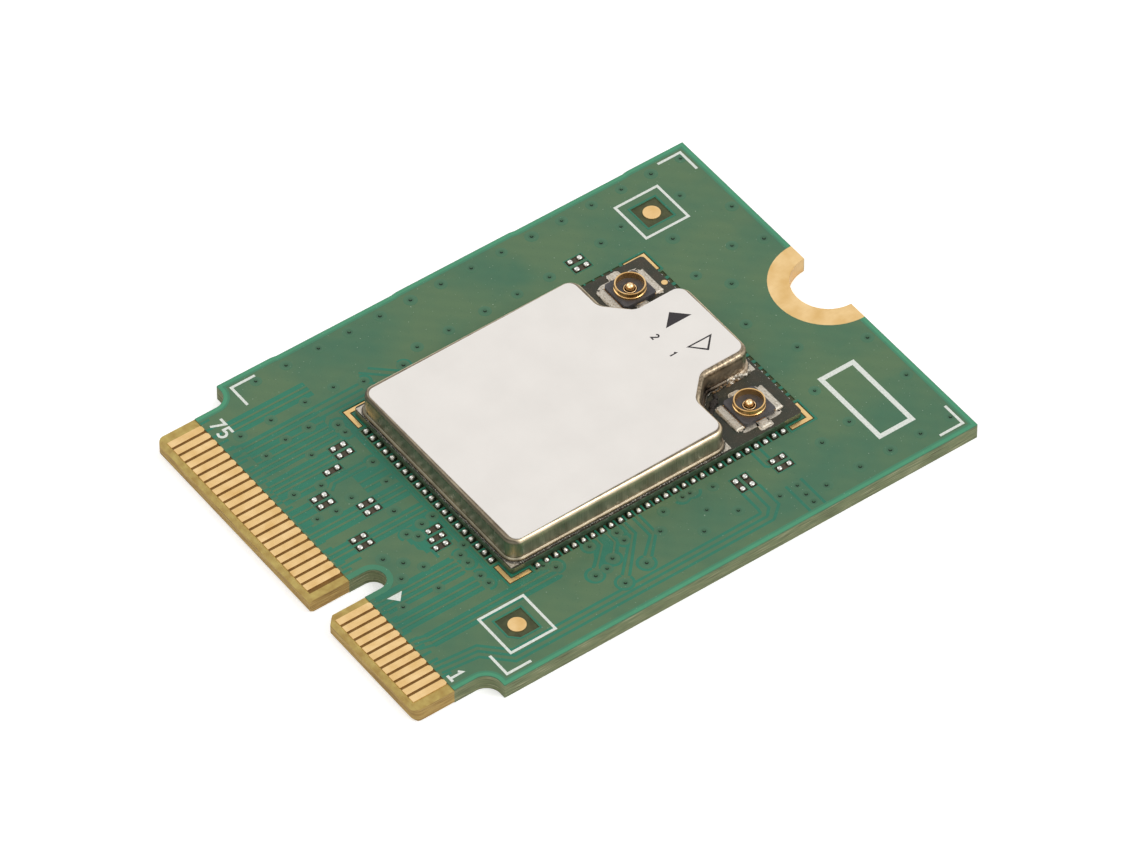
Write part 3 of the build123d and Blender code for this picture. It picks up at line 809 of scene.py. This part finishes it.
def side_routes():
    """Clearances to the right and left of the module, in millimetres."""
    routes = [
        [(9.52, 4.0), (9.25, 4.05), (8.1, 4.05)],
        [(9.83, 4.13), (9.45, 4.50), (8.1, 4.50)],
        [(10.15, 4.26), (9.55, 4.98), (8.1, 4.98)],
    ]
    for start, bend, end in side_traces:
        way = Vector((end[0] - bend[0], end[1] - bend[1])).normalized()
        short = (end[0] - way.x * 0.4, end[1] - way.y * 0.4)
        for side in (-0.16, 0.16):
            routes.append([(start[0], start[1] + side), (bend[0], bend[1] + side),
                           (short[0] - way.y * side, short[1] + way.x * side)])
        heading = math.degrees(math.atan2(way.y, way.x))
        routes.append(ring_line(*end, 0.42, heading - 150, heading + 150))
    return routes + [
        *rings_at(((6.7, 2.35), (6.7, 1.75)), 0.36, -80, 80),
        *rings_at(((6.68, -1.73), (7.25, -1.78), (6.63, -3.25)), 0.36, -150, 120),
        *([(8.9, y), (10.75, y)] for y in (6.68, 5.85)),
        [(6.4, 5.85), (7.4, 5.85), (7.55, 6.0)],
        [(6.4, 6.3), (7.1, 6.3)],
        *rings_at(((-7.35, -5.5), (-6.8, -5.5)), 0.34, 0, 180),
        ring_line(-7.08, -3.5, 0.34, -60, 200),
        [(-6.3, -3.1), (-6.9, -3.8), (-7.9, -4.9)],
        [(-6.3, -3.6), (-6.8, -4.2), (-7.9, -5.4)],
        *([(-5.9, y), (5.9, y)] for y in (-7.52, -7.68)),
    ]


def finger_routes():
    """Short clearances behind the edge contacts, midway between two of them."""
    pitch = 0.5
    first = contacts_high.x / mm - 0.43
    places = [first - pitch * index for index in range(38)]
    return columns([x for x in places if abs(x - key_slot_x / mm) > 1.1], -12.88, -12.40)


def trace_gaps():
    """Clearances in the copper, which show through the coat as thin brighter lines."""
    half = 0.075 * mm
    shape = Shape()
    for index, route in enumerate(tongue_routes() + side_routes() + finger_routes()):
        shape.coat_line(scaled(route), half, stacked(index))
    shape.piece("trace_gaps", "mask_green", "coat_over_gap")


def coat_borders():
    """Bright line along the board's edges, where the coat lies on laminate, softer towards the inside."""
    bright = 0.21 * mm
    soft = 0.31 * mm
    slot_reach = 1.0 * mm
    outer = plan_loops("solder_mask", coat_top)[0]
    notch = Vector((0, cad_high.y))
    ring_reach = seat_high.x + 0.03 * mm
    runs = [[]]
    for x, y in outer + outer[:1]:
        on_tongue_end = y < coat_front + 0.01 * mm
        on_ring = (Vector((x, y)) - notch).length < ring_reach
        if on_tongue_end or on_ring:
            runs[-1].append((x, y))
            runs.append([])
        runs[-1].append((x, y))
    if len(runs) > 1:
        runs[0] = runs.pop() + runs[0][1:]
    shape = Shape()
    for run in runs:
        run = squared(run)
        if len(run) > 2:
            shape.sweep(run, coat_strip(soft, 0.010 * mm, 0.007 * mm), mark=1)
            if max(abs(x - key_slot_x) for x, y in run) > slot_reach:
                shape.sweep(run, coat_strip(bright, 0.012 * mm, 0.0085 * mm))
    shape.piece("coat_borders", "mask_green", "coat_at_edge", "coat_by_edge")


def window_halos():
    """Thin clearance round each small opening in the coat."""
    pad_length, longest = 3 * mm, 8 * mm
    shape = Shape()
    for index, line in enumerate(plan_loops("solder_mask", coat_top)[1:]):
        wide = 0.065 * mm if loop_length(line) < pad_length else 0.12 * mm
        if loop_length(line) < longest:
            shape.sweep(line, coat_strip(wide, 0.004 * mm, stacked(index, 0.0105)), closed=True)
    shape.piece("window_halos", "mask_green", "coat_over_gap")


# Rows of coated-over holes: x, first y, step along y and number, in millimetres
via_rows = (
    (-10.20, 14.30, -1.69, 13),
    (9.90, 14.30, -1.69, 4),
)
# Holes that stand alone, read off the photograph to 0.05 mm
loose_vias = (
    (-10.20, -7.75), (-10.20, -9.40), (9.90, 7.35), (-8.30, 9.50), (-8.00, 8.15), (-7.65, 5.00),
    (-7.65, 3.20), (-7.65, 1.40), (-7.65, -0.60), (-7.65, -2.35), (-7.85, -6.80), (-7.85, -8.35),
    (-7.85, -10.20), (-7.85, -11.85), (-8.30, 12.85), (-4.35, 12.85), (-6.35, 14.35), (-3.85, 14.30),
    (3.85, 14.30), (6.70, 14.30), (-6.30, 10.95), (-3.80, 10.40), (-2.45, 11.40), (-0.05, 10.40),
    (2.45, 11.40), (5.05, 10.40), (7.45, 10.50), (7.75, 8.75), (9.15, 6.30), (9.80, 6.30),
    (10.35, 6.30), (9.20, 5.30), (8.80, 3.30), (7.00, 3.25), (7.95, 2.20), (6.70, 2.20),
    (6.70, 1.80), (8.90, 1.35), (6.90, 0.60), (7.75, -0.20), (6.70, -1.80), (7.25, -1.80),
    (8.90, -1.80), (7.80, -2.85), (8.15, -3.40), (9.30, -3.25), (6.65, -3.25), (8.20, -4.05),
    (6.75, -5.15), (6.35, -5.55), (-7.10, -3.50), (-7.35, -5.50), (-6.80, -5.50), (-5.85, -7.95),
    (-5.30, -7.95), (-3.10, -8.00), (-1.80, -8.20), (1.10, -7.75), (1.20, -8.40), (1.30, -9.30),
    (1.70, -8.95), (3.30, -7.65), (3.70, -8.10), (4.25, -8.10), (5.20, -8.10), (5.75, -8.05),
    (-6.50, -9.10), (-0.15, -8.95), (-5.05, -9.95), (-1.90, -10.00), (-6.50, -10.35), (-3.30, -10.65),
    (-1.65, -11.00), (1.90, -11.00), (3.30, -11.00), (3.30, -9.80), (4.70, -10.00), (2.60, -10.40),
    (-6.20, -11.60), (-3.55, -11.95), (-1.75, -11.95), (4.70, -11.90),
)


def vias():
    """Coated-over holes: a hollow in painted shade with a painted lit far side, in a soft ring of thin coat
    painted darker towards the hollow.
    """
    places = list(loose_vias)
    for x, first, step, count in via_rows:
        places += [(x, first + step * index) for index in range(count)]
    # Shift towards the far side, (radius, level) rings and finish of each band, in millimetres; the pit is
    # painted shade, the far side painted light, and the halo's inner bands painted shade
    halo = (0, 0, [(0, -0.004), (0.32, 0.0010), (0.25, 0.0085), (0.17, 0.0090), (0.12, 0.0094), (0, 0.0096)],
            [2, 2, 2, 3, 3])
    pit = (0, 0, [(0, 0.005), (0.090, 0.006), (0.080, 0.0120), (0, 0.0125)], [0, 0, 0])
    lit_far_side = (-0.036, 0.026, [(0, 0.010), (0.058, 0.011), (0.050, 0.0150), (0, 0.0155)], [1, 1, 1])
    chance = random.Random(7)
    shape = Shape()
    for x, y in places:
        size = chance.uniform(0.9, 1.1) * mm
        for shift_x, shift_y, profile, marks in (halo, pit, lit_far_side):
            rings = [(radius * size, coat_top + level * mm) for radius, level in profile]
            shape.turned((x + shift_x) * mm, (y + shift_y) * mm, rings, marks)
    shape.piece("via_pits", "mask_green", "via_pit", "via_far_side_light", "coat_round_via", "coat_near_via")


def window_floors():
    """Bare laminate at the bottom of the coat's small openings, darkened as painted shade."""
    widest, longest = 3.0 * mm, 1.0 * mm
    shape = Shape()
    for left, low, right, high in window_boxes(0):
        if right - left < widest and high - low < longest:
            shape.block((left, low, right, high), coat_low - 0.001 * mm, coat_low + 0.004 * mm)
    shape.piece("window_floors", "board_laminate", "window_floor_shade")


def module_pad_rows():
    """Middles and outward directions of the module's pads."""
    pitch = 0.5 * mm
    end = 1.25 * mm
    middle_y = (module_low.y + module_high.y) / 2
    rows = []
    across = round((module_high.x - module_low.x - 2 * end) / pitch)
    along = round((module_high.y - module_low.y - 2 * end) / pitch)
    half_length = module_high.y - middle_y
    for side in (-1, 1):
        for index in range(across + 1):
            rows.append(((index - across / 2) * pitch, middle_y + side * half_length, 0, side))
        for index in range(along + 1):
            rows.append((side * module_high.x, middle_y + (index - along / 2) * pitch, side, 0))
    return rows


def solder_lumps():
    """Bright rounded joints along the module's edges, smaller on its far and left edges."""
    far_size, left_size = 0.69, 0.64
    chance = random.Random(21)
    shape = Shape()
    for x, y, out_x, out_y in module_pad_rows():
        size = (far_size if out_y > 0 else left_size if out_x < 0 else 1) * mm
        away = chance.uniform(0.16, 0.19) * size
        half_out = chance.uniform(0.165, 0.190) * size
        half_across = chance.uniform(0.142, 0.160) * size
        high = coat_top + chance.uniform(0.11, 0.17) * size * size / mm
        half_x, half_y = (half_out, half_across) if out_x else (half_across, half_out)
        shape.dome(x + out_x * away, y + out_y * away, coat_low, high, half_x, half_y, square=3.2)
    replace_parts(shape.piece("solder_lumps", "solder", smooth=True), "module_solder_joints")


def coat_webs():
    """Narrow bridges of coat between neighbouring joints."""
    longest = 0.6 * mm
    reach = 0.38 * mm
    shape = Shape()
    rows = module_pad_rows()
    for first, second in zip(rows, rows[1:]):
        if first[2:] == second[2:] and math.dist(first[:2], second[:2]) <= longest:
            x, y = (first[0] + second[0]) / 2, (first[1] + second[1]) / 2
            out_x, out_y = first[2:]
            half = (0.085 if out_y > 0 else 0.050) * mm
            half_x, half_y = (0, half) if out_x else (half, 0)
            far_x, far_y = x + out_x * reach, y + out_y * reach
            left, right = sorted((x, far_x))
            low, high = sorted((y, far_y))
            box = (left - half_x, low - half_y, right + half_x, high + half_y)
            shape.block(box, coat_low, coat_top - 0.004 * mm)
    shape.piece("coat_webs", "mask_green", "coat_over_gap")


def footprint_lumps():
    """Domed solder on the bare two-pad footprints."""
    chance = random.Random(33)
    shape = Shape()
    work = welded("footprint_solder")
    seen = set()
    for start in work.verts:
        if start in seen:
            continue
        group, reach = set(), [start]
        while reach:
            vert = reach.pop()
            if vert not in group:
                group.add(vert)
                reach += [edge.other_vert(vert) for edge in vert.link_edges]
        seen |= group
        x = sum(vert.co.x for vert in group) / len(group)
        y = sum(vert.co.y for vert in group) / len(group)
        half = chance.uniform(0.150, 0.165) * mm
        high = coat_top + chance.uniform(0.085, 0.115) * mm
        shape.dome(x, y, coat_low, high, half, half * 0.96, square=3.0)
    work.free()
    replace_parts(shape.piece("footprint_lumps", "solder", smooth=True), "footprint_solder")


def notch_plating():
    """Gold on the wall of the screw notch."""
    ring_width = 1.0 * mm
    radius = seat_high.y - seat_low.y - ring_width
    wall = 0.012 * mm
    low, high = cad_low.z + 0.01 * mm, coat_top - 0.003 * mm
    line = [(x * mm, y * mm + cad_high.y) for x, y in ring_line(0, 0, radius / mm, 181, 359, 6)]
    shape = Shape()
    shape.sweep(line, [(0, low), (0, high), (wall, high), (wall, low)])
    shape.piece("notch_plating", "contact_gold")


def resampled(line, spacing):
    """Points at even distances round a closed plan line."""
    points = []
    for index, end in enumerate(line):
        start = line[index - 1]
        count = max(1, round(math.dist(start, end) / spacing))
        for step in range(count):
            share = step / count
            points.append((start[0] + (end[0] - start[0]) * share, start[1] + (end[1] - start[1]) * share))
    return points


def can_foot_bead():
    """Uneven bead of flux and solder along the can's foot."""
    chance = random.Random(5)
    seat_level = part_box("shield_seat")[0].z
    line = resampled(plan_loops("shield_can", wall_foot)[0], 0.16 * mm)
    profiles = []
    for _ in line:
        out = chance.uniform(0.035, 0.10) * mm
        rise = chance.uniform(0.03, 0.09) * mm
        profiles.append([(0, seat_level), (0, wall_foot + rise), (out * 0.6, wall_foot + rise * 0.6),
                         (out, seat_level)])
    shape = Shape()
    shape.strip(line, profiles, closed=True)
    shape.piece("can_foot_bead", "solder", "foot_bead", smooth=True)


def port_places():
    """Name of each antenna port, the side it lies on and its middle."""
    places = []
    for name, side in (("left", -1), ("right", 1)):
        low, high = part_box(f"{name}_port_insulator")
        places.append((name, side, (low.x + high.x) / 2, (low.y + high.y) / 2))
    return places


def port_pins():
    """Centre contacts with a ball tip, a post and a collar, the hollow and post in painted shade, and a tail
    under the moulding.
    """
    # Radii in millimetres: collar, its gold rim, inner slope and hollow, post and ball
    collar, rim, slope, hollow, post, ball = 0.31, 0.29, 0.26, 0.25, 0.14, 0.215
    half_tail = 0.26 * mm
    floor = module_high.z
    for name, side, x, y in port_places():
        pin_low, pin_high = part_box(f"{name}_port_pin")
        collar_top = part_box(f"{name}_port_insulator")[1].z / mm + 0.02
        middle = pin_high.z / mm - ball
        profile = [(0, floor / mm), (collar, floor / mm), (collar, collar_top), (rim, collar_top + 0.02),
                   (slope, collar_top), (hollow, collar_top - 0.03), (post, collar_top - 0.03)]
        # Mark 1 puts the hollow, the post and the underside in painted shade
        marks = [1, 0, 0, 0, 1, 1, 1]
        for turn in range(-50, 90, 10):
            angle = math.radians(turn)
            profile.append((ball * math.cos(angle), middle + ball * math.sin(angle)))
            marks.append(0)
        profile.append((0, pin_high.z / mm))
        shape = Shape()
        shape.turned(x, y, scaled(profile), marks, around=28)
        left, right = sorted((pin_low.x if side > 0 else pin_high.x, x))
        shape.block((left, y - half_tail, right, y + half_tail), floor, floor + 0.08 * mm)
        piece = shape.piece(f"{name}_pin_turned", "contact_gold", "pin_gold", "pin_gold_in_shade", smooth=True)
        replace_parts(piece, f"{name}_port_pin")


def port_solder_flow():
    """Ragged film of solder that has run out round each tab of the antenna ports."""
    # Place of each tab from its port's middle, and its half sizes, in millimetres
    tabs = ((0, 1.07, 0.90, 0.24), (0, -1.07, 0.90, 0.24), (1.16, 0, 0.28, 0.36), (-1.04, 0, 0.20, 0.34),
            (0.96, 0, 0.13, 1.08))
    chance = random.Random(11)
    floor = module_high.z
    shape = Shape()
    for _, side, x, y in port_places():
        for away_x, away_y, half_x, half_y in tabs:
            outline = []
            for across, along in rounded(28, 6):
                size = chance.uniform(0.90, 1.06)
                outline.append((x + (side * away_x + half_x * size * across) * mm,
                                y + (away_y + half_y * size * along) * mm))
            shape.plate(outline, floor, floor + 0.03 * mm)
    shape.piece("port_solder_flow", "solder", "solder_frosted")


def neck_splashes():
    """Solder, flux and soot at the foot of the neck, beside the right port."""
    # Start and end of each patch, number of blobs, their half width and height ranges, and finish
    patches = (
        ((2.62, 8.45), (2.60, 7.30), 20, (0.07, 0.14), (0.08, 0.28), 0),
        ((2.71, 8.10), (2.69, 6.30), 40, (0.03, 0.08), (0.03, 0.14), 1),
        ((2.98, 6.42), (3.72, 5.50), 26, (0.06, 0.15), (0.03, 0.14), 2),
        ((3.10, 6.10), (4.10, 5.30), 18, (0.02, 0.05), (0.02, 0.05), 1),
        ((3.50, 5.40), (4.80, 5.16), 10, (0.03, 0.07), (0.02, 0.08), 0),
    )
    chance = random.Random(17)
    floor = module_high.z
    shape = Shape()
    for start, end, count, widths, heights, mark in patches:
        for _ in range(count):
            share = chance.random()
            x = start[0] + (end[0] - start[0]) * share + chance.uniform(-0.04, 0.10)
            y = start[1] + (end[1] - start[1]) * share + chance.uniform(-0.05, 0.08)
            half = chance.uniform(*widths) * mm
            shape.dome(x * mm, y * mm, floor, floor + chance.uniform(*heights) * mm, half,
                       half * chance.uniform(0.6, 1.2), turn=chance.uniform(0, 3), mark=mark)
    shape.piece("neck_splashes", "solder", "solder_frosted", "flux_crust", "soot_crust", smooth=True)


def digit_lines(body, x, y, height):
    """Strokes of a plain digit, centred on a place in plan, in millimetres."""
    strokes = {
        "1": [(-0.20, 0.28), (0.02, 0.5), (0.02, -0.5)],
        "2": ring_line(0, 0.25, 0.25, 165, -35) + [(-0.25, -0.5), (0.28, -0.5)],
        "5": [(0.30, 0.5), (-0.24, 0.5), (-0.26, 0.08)] + ring_line(0.0, -0.19, 0.30, 120, -135),
        "7": [(-0.30, 0.5), (0.30, 0.5), (-0.10, -0.5)],
        "foot": [(-0.30, -0.5), (0.34, -0.5)],
    }
    return scaled([(x + across * height, y + along * height) for across, along in strokes[body]])


def board_print():
    """Contact numbers, a blank printed box and a small key mark."""
    numbers = (
        ("number_75", (("7", -9.04, -12.30), ("5", -8.44, -12.30))),
        ("number_1", (("1", 9.26, -12.33), ("foot", 9.26, -12.33))),
    )
    rise = 0.012 * mm
    for name, digits in numbers:
        number = Shape()
        for index, (body, x, y) in enumerate(digits):
            number.coat_line(digit_lines(body, x, y, 0.66), 0.075 * mm, (0.010 + 0.001 * index) * mm)
        number.piece(name, "print_white")
    half_x, half_y = 2.15 * mm, 0.90 * mm
    x, y = 6.82 * mm, 11.95 * mm
    blank = Shape()
    box = (x - half_x, y - half_y, x + half_x, y + half_y)
    blank.coat_line(box_corners(box), 0.13 * mm, rise / 2, closed=True)
    blank.piece("blank_print_box", "print_white")
    mark = Shape()
    corners = scaled([(3.90, -12.20), (4.35, -11.80), (3.90, -11.40)])
    mark.plate(corners, coat_top - rise / 2, coat_top + rise)
    mark.piece("key_mark", "print_white")


def label_print():
    """Two port marks and their numbers on the label."""
    rise = 0.001 * mm
    low, high = label_top - rise, label_top + rise

    def flat(half):
        return [(-half, low), (-half, high), (half, high), (half, low)]

    solid = Shape()
    solid.plate(scaled([(-1.44, 7.11), (-0.72, 6.40), (-0.73, 7.84)]), low, high)
    solid.piece("port_mark_solid", "label_film", "ink")
    outline = Shape()
    outline.sweep(scaled([(0.79, 7.76), (0.79, 6.52), (1.43, 7.14)]), flat(0.05 * mm), closed=True)
    outline.piece("port_mark_open", "label_film", "ink")
    for body, x in (("2", -0.58), ("1", 0.755)):
        digit = Shape()
        digit.sweep(digit_lines(body, x, 5.70, 0.35), flat(0.040 * mm))
        digit.piece("label_number_" + body, "label_film", "ink")


def studio():
    """White floor, soft lamps and a plain world."""
    reach = 0.6
    mesh = bpy.data.meshes.new("floor")
    corners = [(x, y, 0) for x, y in box_corners((-reach, -reach, reach, reach))]
    mesh.from_pydata(corners, [], [(0, 1, 2, 3)])
    floor = placed("floor", mesh)
    floor.location.z = cad_low.z - 0.02 * mm
    paper = Surface("floor_paper", roughness=0.9, specular=0.1)
    paper.shader.inputs["Base Color"].default_value = (0.90, 0.90, 0.90, 1)
    paper.shader.inputs["Emission Color"].default_value = (1, 1, 1, 1)
    seen = paper.add("ShaderNodeLightPath").outputs["Is Camera Ray"]
    paper.link(paper.band(seen, 0, 1, 0, 0.40), paper.shader.inputs["Emission Strength"])
    mesh.materials.append(paper.material)

    # Name, place, diameter and power of each lamp
    lamps = (
        ("key", (0.30, 0.24, 0.42), 0.30, 1.12),
        ("fill", (0.16, -0.30, 0.32), 0.34, 0.40),
        ("left", (-0.34, -0.16, 0.30), 0.30, 0.39),
    )
    for name, place, size, power in lamps:
        lamp = bpy.data.lights.new(name, "AREA")
        lamp.shape = "DISK"
        lamp.size = size
        lamp.energy = power
        aim(placed(name, lamp), Vector(place), Vector())

    world = bpy.data.worlds.new("studio")
    world.use_nodes = True
    bpy.context.scene.world = world
    background = world.node_tree.nodes["Background"].inputs
    background["Color"].default_value = (1, 1, 1, 1)
    sky = Nodes(world.node_tree)
    rays = sky.add("ShaderNodeLightPath").outputs
    bright = rays["Is Camera Ray"]
    for kind in ("Is Glossy Ray", "Is Transmission Ray"):
        bright = sky.math("MAXIMUM", bright, rays[kind])
    sky.link(sky.band(bright, 0, 1, 0.55, 1.0), background["Strength"])


def aim(item, place, target):
    """Put a lamp or camera in its place, looking at a target."""
    item.location = place
    item.rotation_euler = (place - target).to_track_quat("Z", "Y").to_euler()


def camera():
    """Long lens from the contact side, at the photograph's angle."""
    place = Vector((198.206, -144.024, 264.958)) * mm
    target = Vector((0.388, 0.268, 0.8)) * mm
    focal_pixels = 8097.0
    frame_pixels = 1140
    roll = math.radians(0.125)
    data = bpy.data.cameras.new("camera")
    data.sensor_width = 36.0
    data.lens = focal_pixels / frame_pixels * data.sensor_width
    data.clip_start = 0.01
    holder = placed("camera", data)
    aim(holder, place, target)
    holder.rotation_euler.rotate_axis("Z", -roll)
    bpy.context.scene.camera = holder


copper_free_areas()
trace_gaps()
coat_borders()
window_halos()
vias()
window_floors()
solder_lumps()
coat_webs()
footprint_lumps()
notch_plating()
can_foot_bead()
port_pins()
port_solder_flow()
neck_splashes()
board_print()
label_print()
studio()
camera()
bpy.context.scene.view_settings.view_transform = "Standard"
